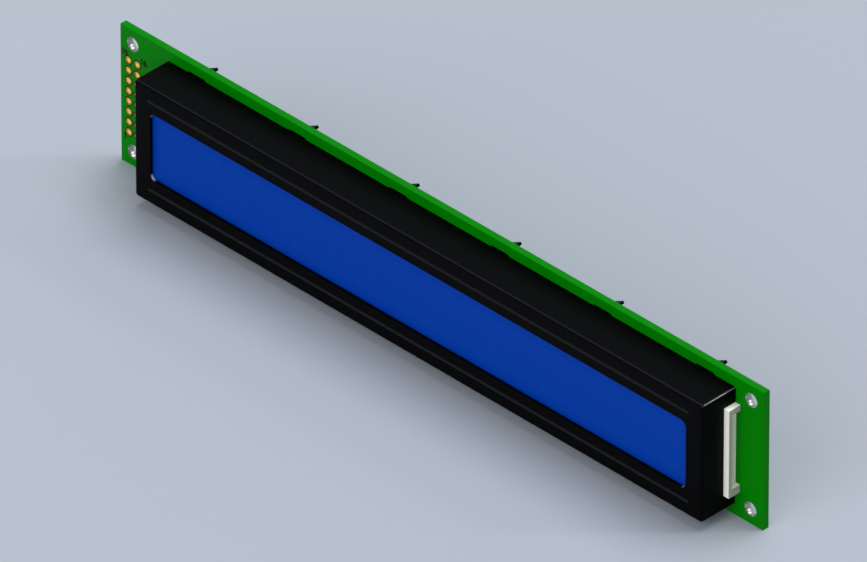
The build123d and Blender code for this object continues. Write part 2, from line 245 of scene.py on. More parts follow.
# %% Green solder mask
MASK_GREEN = ("#007000", "#007700")
MASK_CLOUD = 6.0
THREAD_GREEN = "#038203"
THREAD_SPACING = 0.5
THREAD_RELIEF = 0.02
THREAD_WAVER = 0.3
THREAD_SHOW = 0.5
# A wave texture has about this many waves in a unit when its scale is one
WAVES_PER_UNIT = 3.2

solder_mask, tree, shader, in_mm = start_finish("green_solder_mask", {"Specular IOR Level": 0.04})
lacquer = grain(tree, shader, in_mm, MASK_CLOUD, MASK_GREEN, 0.01, (0.34, 0.44))
threads = [add(tree, "TexWave", {"bands_direction": direction, "wave_profile": "SIN"},
               {"Vector": in_mm, "Scale": 1 / THREAD_SPACING / WAVES_PER_UNIT, "Distortion": THREAD_WAVER})
           for direction in ("X", "Z")]
weave = add(tree, "Math", {"operation": "MULTIPLY"},
            {0: threads[0].outputs["Fac"], 1: threads[1].outputs["Fac"]})
cloth = add(tree, "Bump", sockets={"Height": weave.outputs[0], "Distance": THREAD_RELIEF * MM,
                                   "Normal": lacquer["relief"]})
tree.links.new(cloth.outputs[0], shader.inputs["Normal"])
over_thread = add(tree, "Math", {"operation": "MULTIPLY"}, {0: weave.outputs[0], 1: THREAD_SHOW})
greens = add(tree, "Mix", {"data_type": "RGBA"},
             {"Factor": over_thread.outputs[0], "A": lacquer["colour"], "B": srgb(THREAD_GREEN)})
tree.links.new(greens.outputs["Result"], shader.inputs["Base Color"])
dress(solder_mask, "circuit_board")
print("solder mask on", list(dressed))

# %% [markdown]
# The bezel is pressed steel with a coat of black paint, baked on to a satin gloss. Paint that has flowed
# and set has a shallow unevenness called orange peel, with humps about half a millimetre across. Black
# paint shows only its reflections, so the grain works on the relief and the gloss and hardly on the colour.

# %% Black paint
PAINT_BLACK = ("#010101", "#030303")
PAINT_GLOSS = (0.34, 0.42)
PEEL_SIZE = 0.5
PEEL_RELIEF = 0.004

black_paint, tree, shader, in_mm = start_finish("black_painted_steel", {"Specular IOR Level": 0.03})
coat = grain(tree, shader, in_mm, PEEL_SIZE, PAINT_BLACK, PEEL_RELIEF, PAINT_GLOSS, 2.0)
print("orange peel of", PEEL_SIZE, "mm")

# %% [markdown]
# Paint is thin on bends and beads, and handling rubs it there. The grey line drawn along them shows that
# wear, and is also a painted highlight that stands in for the light each bend catches. The lines could be
# painted on a UV map, but the surface's own direction already tells where a bend is: part of the way
# round it, the forward part of that direction is about one half. Only bends that face partly up or down
# get a line. The upright ones are left plain black.

# %% Lines along the bends and beads
LINE_FORWARD = 0.5
LINE_FULL = 0.12
LINE_GONE = 0.28
LEAST_UPRIGHT = 0.2

facing = add(tree, "TexCoord")
turned_to = add(tree, "SeparateXYZ", sockets={"Vector": facing.outputs["Normal"]})
sideways, forward, upright = [add(tree, "Math", {"operation": "ABSOLUTE"}, {0: part}).outputs[0]
                              for part in turned_to.outputs]
too_far = add(tree, "Math", {"operation": "SUBTRACT"}, {0: forward, 1: LINE_FORWARD})
off_line = add(tree, "Math", {"operation": "ABSOLUTE"}, {0: too_far.outputs[0]})
line = add(tree, "MapRange",
           sockets={"Value": off_line.outputs[0], "From Min": LINE_GONE, "From Max": LINE_FULL})
not_upright = add(tree, "Math", {"operation": "GREATER_THAN"}, {0: upright, 1: LEAST_UPRIGHT})
bend = add(tree, "Math", {"operation": "MULTIPLY"}, {0: line.outputs[0], 1: not_upright.outputs[0]})
print("a line is full where the forward part is within", LINE_FULL, "of", LINE_FORWARD)

# %% [markdown]
# The bends between the top or bottom and a side wall get the brightest line, worn paint and a painted
# highlight. Their direction lies between X and Z, and the product of those two parts is one half at the
# middle of the bend, so a limit just under that leaves a thin line. The window's four corners turn the
# same way. There a painted glint of near white covers the whole curve, so near the window's height the
# limit is low.

# %% Corners of the bezel and of its window
WINDOW_REACH = 9.0
CORNER_START = 0.45
WINDOW_START = 0.1
CORNER_FULL = 0.49

place = add(tree, "SeparateXYZ", sockets={"Vector": in_mm})
across = add(tree, "Math", {"operation": "MULTIPLY"}, {0: sideways, 1: upright})
height = add(tree, "Math", {"operation": "ABSOLUTE"}, {0: place.outputs["Z"]})
at_window = add(tree, "Math", {"operation": "LESS_THAN"}, {0: height.outputs[0], 1: WINDOW_REACH})
begins = add(tree, "Math", {"operation": "MULTIPLY_ADD"},
             {0: at_window.outputs[0], 1: WINDOW_START - CORNER_START, 2: CORNER_START})
corner = add(tree, "MapRange",
             sockets={"Value": across.outputs[0], "From Min": begins.outputs[0], "From Max": CORNER_FULL})
print("corners start at", CORNER_START, "outside and at", WINDOW_START, "round the window")

# %% [markdown]
# Each marked place has its own grey, both worn paint and painted highlight: darkest on the outer bends,
# a little lighter on the beads, lighter still at the corners, and a painted glint of near white at the
# window. These places also get more gloss and some metal, as worn steel would show. Only the front is
# marked, so the tabs behind the board keep their plain paint.

# %% Colours of the worn paint, painted highlights and glint
# The greys are worn paint and painted highlights, and the window's near white is a painted glint
BEND_WEAR_HIGHLIGHT = "#212123"
BEAD_WEAR_HIGHLIGHT = "#343436"
BEAD_REACH = 12.5
CORNER_WEAR_HIGHLIGHT = "#6C6C69"
WINDOW_GLINT = "#ECECEA"
FRONT_Y = -0.1
WEAR_HIGHLIGHT_METAL = 0.5
WEAR_HIGHLIGHT_GLOSS = 0.24

on_bend = add(tree, "Math", {"operation": "GREATER_THAN"}, {0: height.outputs[0], 1: BEAD_REACH})
line_wear_highlight_grey = add(tree, "Mix", {"data_type": "RGBA"},
                {"Factor": on_bend.outputs[0], "A": srgb(BEAD_WEAR_HIGHLIGHT), "B": srgb(BEND_WEAR_HIGHLIGHT)})
# A painted highlight with wear on the outer corners, and a painted glint at the window's corners
corner_and_glint_grey = add(tree, "Mix", {"data_type": "RGBA"},
                  {"Factor": at_window.outputs[0], "A": srgb(CORNER_WEAR_HIGHLIGHT), "B": srgb(WINDOW_GLINT)})
wear_highlight_greys = add(tree, "Mix", {"data_type": "RGBA"},
            {"Factor": corner.outputs[0], "A": line_wear_highlight_grey.outputs["Result"],
             "B": corner_and_glint_grey.outputs["Result"]})
wear_highlight_mask = add(tree, "Math", {"operation": "MAXIMUM"}, {0: bend.outputs[0], 1: corner.outputs[0]})
in_front = add(tree, "Math", {"operation": "LESS_THAN"}, {0: place.outputs["Y"], 1: FRONT_Y})
wear_and_highlight = add(tree, "Math", {"operation": "MULTIPLY"}, {0: wear_highlight_mask.outputs[0], 1: in_front.outputs[0]})
# Black paint, with the painted highlight lines and the painted glint mixed in
paint = add(tree, "Mix", {"data_type": "RGBA"},
            {"Factor": wear_and_highlight.outputs[0], "A": coat["colour"], "B": wear_highlight_greys.outputs["Result"]})
metal = add(tree, "Math", {"operation": "MULTIPLY"}, {0: wear_and_highlight.outputs[0], 1: WEAR_HIGHLIGHT_METAL})
gloss = add(tree, "Mix", {"data_type": "FLOAT"},
            {"Factor": wear_and_highlight.outputs[0], "A": coat["gloss"], "B": WEAR_HIGHLIGHT_GLOSS})
tree.links.new(paint.outputs["Result"], shader.inputs["Base Color"])
tree.links.new(metal.outputs[0], shader.inputs["Metallic"])
tree.links.new(gloss.outputs[0], shader.inputs["Roughness"])
print("the bezel's paint has", len(tree.nodes), "nodes")

# %% [markdown]
# The blue face is a polarising film over the front glass. Switched off, it looks like one smooth deep
# blue, and only close up can the cells for the characters be made out: 40 across and 2 down, each with
# 5 by 8 dots. Their pitch and size are the usual ones for a module of this length. They could be modelled
# as thin plates, but they have no thickness to see. A cell is found by taking the place's remainder after
# division by the pitch, and a dot by a second remainder inside it.

# %% Dots of the display
CELLS = (40, 2)
CELL_PITCH = (3.7, 5.95)
CELL_SIZE = (3.2, 5.55)
DOT_PITCH = (0.65, 0.7)
DOT_SIZE = (0.6, 0.65)


def box_mm(node):
    """A node's lowest and highest corner in millimetres, as arrays."""
    low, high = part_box(node)
    return np.array(low) / MM, np.array(high) / MM


face_low, face_high = box_mm("front_polariser")
face_middle = ((face_low + face_high) / 2)[[0, 2]]
active = [CELL_PITCH[k] * (CELLS[k] - 1) + CELL_SIZE[k] for k in (0, 1)]
display_face, tree, shader, in_mm = start_finish("blue_display_face",
                                                 {"Roughness": 0.3, "Specular IOR Level": 0.03})
place = add(tree, "SeparateXYZ", sockets={"Vector": in_mm})
masks = []
for k, axis in enumerate(("X", "Z")):
    first = face_middle[k] - active[k] / 2
    along = add(tree, "Math", {"operation": "SUBTRACT"}, {0: place.outputs[axis], 1: first})
    in_cell = add(tree, "Math", {"operation": "FLOORED_MODULO"}, {0: along.outputs[0], 1: CELL_PITCH[k]})
    in_dot = add(tree, "Math", {"operation": "FLOORED_MODULO"}, {0: in_cell.outputs[0], 1: DOT_PITCH[k]})
    limits = [("LESS_THAN", in_cell, CELL_SIZE[k]), ("LESS_THAN", in_dot, DOT_SIZE[k]),
              ("GREATER_THAN", along, 0.0), ("LESS_THAN", along, active[k])]
    for operation, node, limit in limits:
        masks.append(add(tree, "Math", {"operation": operation}, {0: node.outputs[0], 1: limit}))
print("active area in millimetres", [round(side, 2) for side in active])

# %% [markdown]
# A dot shows only where all the limits hold, so their masks are multiplied. The film's outside is made
# dull on purpose, against glare, with a fine even tooth a tenth of a millimetre across.

# %% Blue display face
FACE_BLUE = "#003597"
DOT_BLUE = "#01389A"
TOOTH_SIZE = 0.1
TOOTH_RELIEF = 0.002

dots = masks[0]
for mask in masks[1:]:
    dots = add(tree, "Math", {"operation": "MULTIPLY"}, {0: dots.outputs[0], 1: mask.outputs[0]})
blues = add(tree, "Mix", {"data_type": "RGBA"},
            {"Factor": dots.outputs[0], "A": srgb(FACE_BLUE), "B": srgb(DOT_BLUE)})
tree.links.new(blues.outputs["Result"], shader.inputs["Base Color"])
tooth = add(tree, "TexNoise", sockets={"Vector": in_mm, "Scale": 1 / TOOTH_SIZE, "Detail": 1.0})
relief = add(tree, "Bump", sockets={"Height": tooth.outputs[0], "Distance": TOOTH_RELIEF * MM})
tree.links.new(relief.outputs[0], shader.inputs["Normal"])
dress(display_face, "front_polariser")
print("a dot is the product of", len(masks), "masks")

# %% [markdown]
# Gold plating on the header's rings is a metal: its colour tints what it reflects, and it has no colour
# of its own besides. Thin plating over rough copper is cloudy and rather dull. The mouth of each hole is
# painted a dark bronze, as painted shade, and the wall inside a pale gold, as painted light. Separate
# pieces could carry these three, but the direction of the surface tells them apart: a ring faces the
# viewer, a mouth has begun to turn away, and a wall faces sideways.

# %% Gold plating
RING_GOLD = ("#D79A2A", "#E2AA38")
# The bronze is painted shade at each hole's mouth, and the pale gold is painted light on the wall inside
MOUTH_SHADE_BRONZE = "#5A3E12"
LIT_WALL_GOLD = "#FFEE9C"
MOUTH_BELOW = 0.96
WALL_BELOW = 0.3
RING_METAL = 0.8
LIT_WALL_METAL = 0.35

gold_plate, tree, shader, in_mm = start_finish("gold_plate", {})
plating = grain(tree, shader, in_mm, 0.4, RING_GOLD, 0.003, (0.36, 0.48))
facing = add(tree, "TexCoord")
turned_to = add(tree, "SeparateXYZ", sockets={"Vector": facing.outputs["Normal"]})
forward = add(tree, "Math", {"operation": "ABSOLUTE"}, {0: turned_to.outputs["Y"]})
in_mouth = add(tree, "Math", {"operation": "LESS_THAN"}, {0: forward.outputs[0], 1: MOUTH_BELOW})
in_hole = add(tree, "Math", {"operation": "LESS_THAN"}, {0: forward.outputs[0], 1: WALL_BELOW})
# Painted shade at the mouths, then painted light on the walls
rings_and_shaded_mouths = add(tree, "Mix", {"data_type": "RGBA"},
           {"Factor": in_mouth.outputs[0], "A": plating["colour"], "B": srgb(MOUTH_SHADE_BRONZE)})
shaded_and_lit_golds = add(tree, "Mix", {"data_type": "RGBA"},
            {"Factor": in_hole.outputs[0], "A": rings_and_shaded_mouths.outputs["Result"], "B": srgb(LIT_WALL_GOLD)})
metal = add(tree, "MapRange",
            sockets={"Value": in_hole.outputs[0], "To Min": RING_METAL, "To Max": LIT_WALL_METAL})
tree.links.new(shaded_and_lit_golds.outputs["Result"], shader.inputs["Base Color"])
tree.links.new(metal.outputs[0], shader.inputs["Metallic"])
dress(gold_plate, "upper_contact_pads", "lower_contact_pads")
print("dressed so far", len(dressed), "nodes")

# %% [markdown]
# The walls of the mounting holes, the jumper pads, the pins and the ends of the chips are tinned, and
# solder is a tin alloy that was melted and set. Both are metals and nearly white. One finish could serve
# for both, but tin from a bath is greyer and duller than solder, which flowed before it set.

# %% Tin and solder
TIN_GREY = ("#9A9A96", "#B0B0AB")
SOLDER_GREY = ("#C6C8CB", "#DEE0E2")

tin_plate = grained_finish("tinned_copper", {"Metallic": 1.0}, 0.6, TIN_GREY, 0.006, (0.22, 0.34))
solder = grained_finish("tin_solder", {"Metallic": 1.0}, 0.5, SOLDER_GREY, 0.01, (0.2, 0.34))
dress(tin_plate, "jumper_pads", "backlight_pins", "chip_end_caps")
dress(solder, "chip_solder_fillets")
print("dressed so far", len(dressed), "nodes")

# %% [markdown]
# The backlight's housing is moulded in a cream white plastic. A mould is spark eroded, which leaves a
# fine even tooth that scatters light, so the plastic looks soft and matt. The outer end of the ledge was
# cut from its runner after moulding, and the cut face is greyer than the rest. It could have a material
# of its own, but it is easy to find by its place, a few hundredths of a millimetre at the right end.

# %% Cream plastic
CREAM = ("#F6F6E4", "#FBFBF0")
CUT_GREY = "#A8A8A2"
CUT_DEPTH = 0.03

cut_start = box_mm("backlight_housing")[1][0] - CUT_DEPTH
cream, tree, shader, in_mm = start_finish("cream_moulded_plastic", {"Specular IOR Level": 0.3})
moulded = grain(tree, shader, in_mm, 0.25, CREAM, 0.008, (0.5, 0.62))
place = add(tree, "SeparateXYZ", sockets={"Vector": in_mm})
at_cut = add(tree, "Math", {"operation": "GREATER_THAN"}, {0: place.outputs["X"], 1: cut_start})
creams = add(tree, "Mix", {"data_type": "RGBA"},
             {"Factor": at_cut.outputs[0], "A": moulded["colour"], "B": srgb(CUT_GREY)})
tree.links.new(creams.outputs["Result"], shader.inputs["Base Color"])
print("the ledge is cut at x", round(cut_start, 2))

# %% [markdown]
# The chips on the back sit under drops of black epoxy, which set glossy with a few shallow dimples. The
# dimples could be modelled, but a broad grain gives them too. The small parts beside them are ceramic:
# resistors with a black glaze and capacitors with a bare tan body.

# %% Black resin and chip bodies
RESIN_BLACK = ("#060606", "#0C0C0C")
GLAZE_BLACK = ("#0B0B0D", "#16161A")
CERAMIC_TAN = ("#8F6B45", "#A37C52")

resin = grained_finish("black_epoxy_resin", {"Specular IOR Level": 0.35},
                       2.5, RESIN_BLACK, 0.06, (0.14, 0.24))
glaze = grained_finish("black_resistor_glaze", {"Roughness": 0.35}, 0.3, GLAZE_BLACK, 0.005)
ceramic = grained_finish("tan_capacitor_ceramic", {"Roughness": 0.5}, 0.3, CERAMIC_TAN, 0.005)
dress(glaze, "chip_resistors")
dress(ceramic, "chip_capacitors")
print("dressed so far", len(dressed), "nodes")

# %% [markdown]
# The rubber strips between the board and the glass are built of thin layers, conducting and insulating in
# turn, pressed together and sliced. The layers show as fine stripes along the strip. Each could be a
# solid, but there are hundreds, and a wave texture across the length draws them all.

# %% Layered rubber
LAYER_PITCH = 0.18
CLEAR_LAYER = "#B9AFA6"
CARBON_LAYER = "#2B2B2D"

rubber, tree, shader, in_mm = start_finish("layered_contact_rubber", {"Roughness": 0.7})
stripes = add(tree, "TexWave", {"bands_direction": "X"},
              {"Vector": in_mm, "Scale": 1 / LAYER_PITCH / WAVES_PER_UNIT})
layers = add(tree, "Mix", {"data_type": "RGBA"},
             {"Factor": stripes.outputs["Fac"], "A": srgb(CLEAR_LAYER), "B": srgb(CARBON_LAYER)})
tree.links.new(layers.outputs["Result"], shader.inputs["Base Color"])
dress(rubber, "upper_zebra_strip", "lower_zebra_strip")
print("rubber layers every", LAYER_PITCH, "mm")

# %% [markdown]
# The other pieces inside the bezel are reached by no view, but each still has its own stuff, so that the
# model can be taken apart. The glasses, the acrylic light guide and the films are clear, milky or smoky.
# Code for each would say the same thing ten times, so a table gives them a line each.

# %% The pieces inside
# name, two colours, grain in mm, roughness, share of light let through, nodes
INNER_FINISHES = [
    ("float_glass", "#DCEBE6", "#E2EFEB", 20.0, 0.02, 1.0, ["front_glass", "rear_glass"]),
    ("cured_seal_resin", "#C9C6B4", "#D6D3C2", 0.4, 0.5, 0.0, ["cell_seal"]),
    ("liquid_crystal", "#1B4AA8", "#2253B4", 3.0, 0.1, 0.3, ["liquid_crystal_layer"]),
    ("amber_port_resin", "#C28F3C", "#D09C48", 0.6, 0.2, 0.2, ["fill_port_plug"]),
    ("dark_polarising_film", "#1E2026", "#26282F", 5.0, 0.15, 0.2, ["rear_polariser"]),
    ("milky_diffuser_film", "#EEF0F1", "#F6F8F8", 0.3, 0.6, 0.3, ["diffuser_film"]),
    ("clear_acrylic", "#E8F0F5", "#EEF5F8", 10.0, 0.04, 0.9, ["light_guide"]),
    ("white_reflector_film", "#F2F2F0", "#F8F8F6", 0.5, 0.35, 0.0, ["reflector_film"]),
    ("white_lacquered_board", "#E2E2DC", "#EBEBE5", 0.8, 0.4, 0.0, ["led_boards"]),
    ("white_diode_plastic", "#EDEDE6", "#F4F4EE", 0.3, 0.5, 0.0, ["backlight_leds"]),
]
for name, dark, light, grain_size, roughness, through, nodes in INNER_FINISHES:
    sockets = {"Roughness": roughness, "Transmission Weight": through}
    dress(grained_finish(name, sockets, grain_size, (dark, light), 0.002), *nodes)
print("dressed so far", len(dressed), "nodes")

# %% [markdown]
# Some nodes need more than a finish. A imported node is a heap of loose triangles, so a curved wall shows
# its facets. We copy such a node, weld its corners together, mark the edges that are truly sharp and
# let the rest shade smoothly. The copy then stands for the node. The bezel and the moulded housing are
# made this way, because their shape is already right.

# %% Welded copies of nodes
SHARP_DEGREES = 30
SAME_PLACE = 1e-7
NO_LENGTH = 1e-8


def weld_and_smooth(mesh, turn_outwards=False):
    """Merge corners that share a place, and shade smoothly over edges that turn less than the limit."""
    shape = bmesh.new()
    shape.from_mesh(mesh)
    bmesh.ops.remove_doubles(shape, verts=shape.verts, dist=SAME_PLACE)
    if turn_outwards:
        bmesh.ops.recalc_face_normals(shape, faces=shape.faces)
    bmesh.ops.dissolve_degenerate(shape, dist=NO_LENGTH, edges=shape.edges)
    limit = math.radians(SHARP_DEGREES)
    for edge in shape.edges:
        edge.smooth = edge.is_manifold and edge.calc_face_angle(0.0) < limit
    for face in shape.faces:
        face.smooth = True
    shape.to_mesh(mesh)
    shape.free()


def finish_piece(name, mesh, material, slot, *nodes):
    """Make a mesh a piece: its material, its body and the nodes it stands for. The slot is not used."""
    mesh.materials.clear()
    mesh.materials.append(material)
    piece = bpy.data.objects.new(name, mesh)
    bpy.context.scene.collection.objects.link(piece)
    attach(piece, "root")
    if nodes:
        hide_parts(*nodes)
    dress(material, *nodes)
    print(name, len(mesh.polygons), "faces")
    return piece


def welded_copy(node, name, material, slot):
    """A smooth copy of a node's mesh that stands for the node."""
    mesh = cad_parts[node].data.copy()
    mesh.name = name
    weld_and_smooth(mesh)
    return finish_piece(name, mesh, material, slot, node)


welded_copy("bezel", "bezel_sheet", black_paint, "black_painted_steel")
backlight_case = welded_copy("backlight_housing", "backlight_case", cream, "cream_plastic")

# %% [markdown]
# A moulded edge is never razor sharp. Rounding could be modelled, but a Bevel modifier finds every edge
# by its angle. A narrow one on the housing, finer than a tenth of a millimetre, gives each edge a line
# that catches the light.

# %% Softened edges of the housing
EDGE_ROUND = 0.07
BEVEL_DEGREES = 50

edge_round = backlight_case.modifiers.new("softened_edges", "BEVEL")
edge_round.width = EDGE_ROUND * MM
edge_round.segments = 2
edge_round.limit_method = "ANGLE"
edge_round.angle_limit = math.radians(BEVEL_DEGREES)
print("edges rounded by", EDGE_ROUND, "mm")

# %% [markdown]
# New pieces are surfaces worked out on a grid. A turned shape needs two lists: how far each point of its
# profile stands from the axis, and how far it stands in front of the board's front face. Every profile
# point is carried round a circle at once, as whole arrays. Points on the axis fall together and are
# welded, which closes the poles. Spinning a profile in Blender would make the same shape, but a formula
# shows what the shape is.

# %% Surfaces on a grid
THREE_FOLD = 0.6


def mesh_of_grid(points, wrap_rows, wrap_columns):
    """Corners and four-sided faces of a grid of points, rows by columns, closed round in either direction.

    Face (i, j) joins point (i, j) to its neighbours in the next row and the next column.
    """
    rows, columns = points.shape[:2]
    index = np.arange(rows * columns).reshape(rows, columns)
    if wrap_rows:
        index = np.vstack([index, index[:1]])
    if wrap_columns:
        index = np.hstack([index, index[:, :1]])
    faces = np.stack([index[:-1, :-1], index[1:, :-1], index[1:, 1:], index[:-1, 1:]], axis=-1)
    return points.reshape(-1, 3), faces.reshape(-1, 4)


def turned(radii, depths, x, z, sides, closed, wobble=0.0):
    """A profile carried round an axis that points at the viewer.

    Point (i, j) lies at x + r_i * cos(a_j), z + r_i * sin(a_j), and depth d_i in front of the board.
    A wobble makes the radius swell and shrink by that share, twice and three times round, and x shifts
    the swelling, so that no two drops are alike.
    """
    angles = np.linspace(0, 2 * np.pi, sides, endpoint=False)
    waves = (np.sin(2 * angles + x) + THREE_FOLD * np.sin(3 * angles + 2 * x)) / (1 + THREE_FOLD)
    reach = np.outer(radii, 1 + wobble * waves)
    depth = np.broadcast_to(-np.array(depths)[:, None], reach.shape)
    points = np.stack([x + reach * np.cos(angles), depth, z + reach * np.sin(angles)], axis=-1)
    return mesh_of_grid(points * MM, closed, True)


def new_piece(name, meshes, material, slot, *nodes):
    """Put several meshes of corners and faces into one object, weld it, and turn its faces outwards."""
    corners = []
    faces = []
    offset = 0
    for mesh_corners, mesh_faces in meshes:
        corners.append(mesh_corners)
        faces.append(mesh_faces + offset)
        offset += len(mesh_corners)
    mesh = bpy.data.meshes.new(name)
    mesh.from_pydata(np.vstack(corners).tolist(), [], np.vstack(faces).tolist())
    weld_and_smooth(mesh, turn_outwards=True)
    finish_piece(name, mesh, material, slot, *nodes)


board_low, board_high = box_mm("circuit_board")
board_back = -board_high[1]
print("board back lies at depth", round(board_back, 3))

# %% [markdown]
# Each header hole is plated through: a barrel in the hole, and a ring on each face of the board. Plating
# never ends in a sharp corner, so the ring's edge and the mouth of the hole are rounded. The profile is
# a closed loop of a few points: out of the hole over the front ring, down the hidden side of the barrel,
# in over the back ring and up the hole again.

# %% Header eyelets
PITCH = 2.54
HEADER_ROWS = 8
RING = 0.85
HOLE = 0.5
BARREL = 0.56
COPPER = 0.045
LIP = 0.12
RING_EDGE = 0.05
RING_SIDES = 32

eyelet_low, eyelet_high = box_mm("header_eyelets")
header_columns = [eyelet_low[0] + RING, eyelet_high[0] - RING]
header_rows = PITCH * (np.arange(HEADER_ROWS) - (HEADER_ROWS - 1) / 2)
header = [(x, z) for x in header_columns for z in header_rows]
ring = [(HOLE, -LIP), (HOLE + 0.4 * LIP, 0.2 * COPPER), (HOLE + LIP, COPPER), (RING - RING_EDGE, COPPER),
        (RING - 0.3 * RING_EDGE, 0.7 * COPPER), (RING, 0.0), (BARREL, 0.0)]


def through_board(front):
    """Close a profile that starts in a hole's mouth with the same points, mirrored to the back face."""
    back = [(radius, board_back - depth) for radius, depth in reversed(front)]
    return np.array(front + back).T


radii, depths = through_board(ring)
eyelets = [turned(radii, depths, x, z, RING_SIDES, True) for x, z in header]
new_piece("gold_eyelets", eyelets, gold_plate, "gold_plating", "header_eyelets")

# %% [markdown]
# The lacquer keeps clear of each ring by a fraction of a millimetre, and the bare laminate shows there as
# a thin dark line. The gap could be cut out of the board, but it has no depth to speak of. A very flat
# dark washer, turned like the rings, shows the same on both faces of the board.

# %% Bare laminate round the rings
CLEARANCE = 0.27
WASHER_FOOT = 0.001
WASHER_RISE = 0.012

laminate = grained_finish("bare_laminate", {"Roughness": 0.7, "Specular IOR Level": 0.1},
                          0.3, ("#081505", "#0D1F09"), 0.002)
radii = np.array([RING, RING, RING + CLEARANCE, RING + CLEARANCE])
rises = np.array([WASHER_FOOT, WASHER_RISE, WASHER_RISE, WASHER_FOOT])
washers = []
for x, z in header:
    washers.append(turned(radii, rises, x, z, RING_SIDES, True))
    washers.append(turned(radii, board_back - rises, x, z, RING_SIDES, True))
new_piece("laminate_washers", washers, laminate, "solder_mask")

# %% [markdown]
# The mounting holes are plated too, but only a thin wall of tin lines them. Its mouth is rounded over on
# both faces by a hair. It is made as the eyelets are, with a profile of fewer points and a rounder circle.

# %% Mounting hole plating
HOLE_RADIUS = 1.6
WALL = 0.06
ROLL = 0.03
HOLE_SIDES = 64


def four_places(node, inset):
    """The points (x, z) that lie so far inside the four corners of a node's box."""
    low, high = box_mm(node)
    return [(x, z) for x in (low[0] + inset, high[0] - inset) for z in (low[2] + inset, high[2] - inset)]


outer = HOLE_RADIUS + WALL
radii, depths = through_board([(HOLE_RADIUS, -ROLL), (HOLE_RADIUS + 0.3 * ROLL, -0.3 * ROLL),
                               (HOLE_RADIUS + ROLL, 0.0), (outer, 0.0)])
holes = four_places("mounting_hole_barrels", outer)
walls = [turned(radii, depths, x, z, HOLE_SIDES, True) for x, z in holes]
new_piece("mounting_hole_plating", walls, tin_plate, "tin_plating", "mounting_hole_barrels")

# %% [markdown]
# A drop of resin spreads until it sets. It has a steep, rounded rim and a nearly flat crown, and its
# outline is never a perfect circle. A slice of a ball would have a sharp rim. The profile is a
# superellipse of power 2.2, a little fuller than a plain ellipse, which keeps the crown low and the rim
# steep. The drop is made a little smaller than its solid, so that its wobble stays inside.

# %% Resin drops over the chips
CROWN_POWER = 2.2
CROWN_POINTS = 15
DROP_SHARE = 0.98
DROP_WOBBLE = 0.016
DROP_SIDES = 72
DRIVERS = 4

controller_low, controller_high = box_mm("controller_blob")
driver_low, driver_high = box_mm("driver_blobs")
drop_height = controller_high[1] - board_high[1]
controller_radius = (controller_high[0] - controller_low[0]) / 2
driver_radius = (driver_high[2] - driver_low[2]) / 2
controller_x = (controller_low[0] + controller_high[0]) / 2
driver_xs = np.linspace(driver_low[0] + driver_radius, driver_high[0] - driver_radius, DRIVERS)


def resin_drop(radius, x):
    """Radius R * sin(t) and height H * (1 - sin(t) ** p) ** (1 / p), with t from 0 to 90 degrees."""
    t = np.linspace(0, np.pi / 2, CROWN_POINTS)
    reach = np.sin(t)
    height = np.clip(1 - reach ** CROWN_POWER, 0, 1) ** (1 / CROWN_POWER)
    radii = np.append(radius * DROP_SHARE * reach, 0.0)
    depths = np.append(board_back - drop_height * height, board_back)
    return turned(radii, depths, x, 0.0, DROP_SIDES, False, DROP_WOBBLE)


new_piece("controller_resin_drop", [resin_drop(controller_radius, controller_x)], resin, "chip_resin",
          "controller_blob")
new_piece("driver_resin_drops", [resin_drop(driver_radius, x) for x in driver_xs], resin, "chip_resin",
          "driver_blobs")

# %% [markdown]
# Melted solder climbs a pin and pulls itself into a cone with hollow sides. A plain cone would look
# machined. Here the radius, less the pin's own, falls with the square of the height that is left.

# %% Solder round the backlight pins
PIN = 0.6
PIN_NECK = 0.33
HOLE_FILL = 0.5
CLIMB_POINTS = 9
CONE_SIDES = 32

pins = four_places("backlight_pins", PIN / 2)
pin_distance = pins[-1][0] - pins[0][0]
joint_low, joint_high = box_mm("pin_solder_joints")
pad_radius = (joint_high[0] - joint_low[0] - pin_distance) / 2
joint_height = joint_high[1] - board_high[1]
rise = np.linspace(0, 1, CLIMB_POINTS)
climb = PIN_NECK + (pad_radius - PIN_NECK) * (1 - rise) ** 2
radii = np.concatenate([[0.0, HOLE_FILL, HOLE_FILL], climb, [0.0]])
depths = np.concatenate([[0.0, 0.0, board_back], board_back - joint_height * rise,
                         [board_back - joint_height]])
cones = [turned(radii, depths, x, z, CONE_SIDES, False) for x, z in pins]
new_piece("pin_solder_cones", cones, solder, "solder", "pin_solder_joints")

# %% [markdown]
# Copper tracks and printed ink are the same kind of shape: a flat strip that follows a line. A curve with
# a bevel would give it round sides. Here the strip's four corners are carried along the line, and at each
# bend they move out along the mitre, so that the strip keeps its width. This one function draws the pin
# numbers, the tracks and the printed outlines.

# %% Strips along a line
SHARPEST_MITRE = 0.5


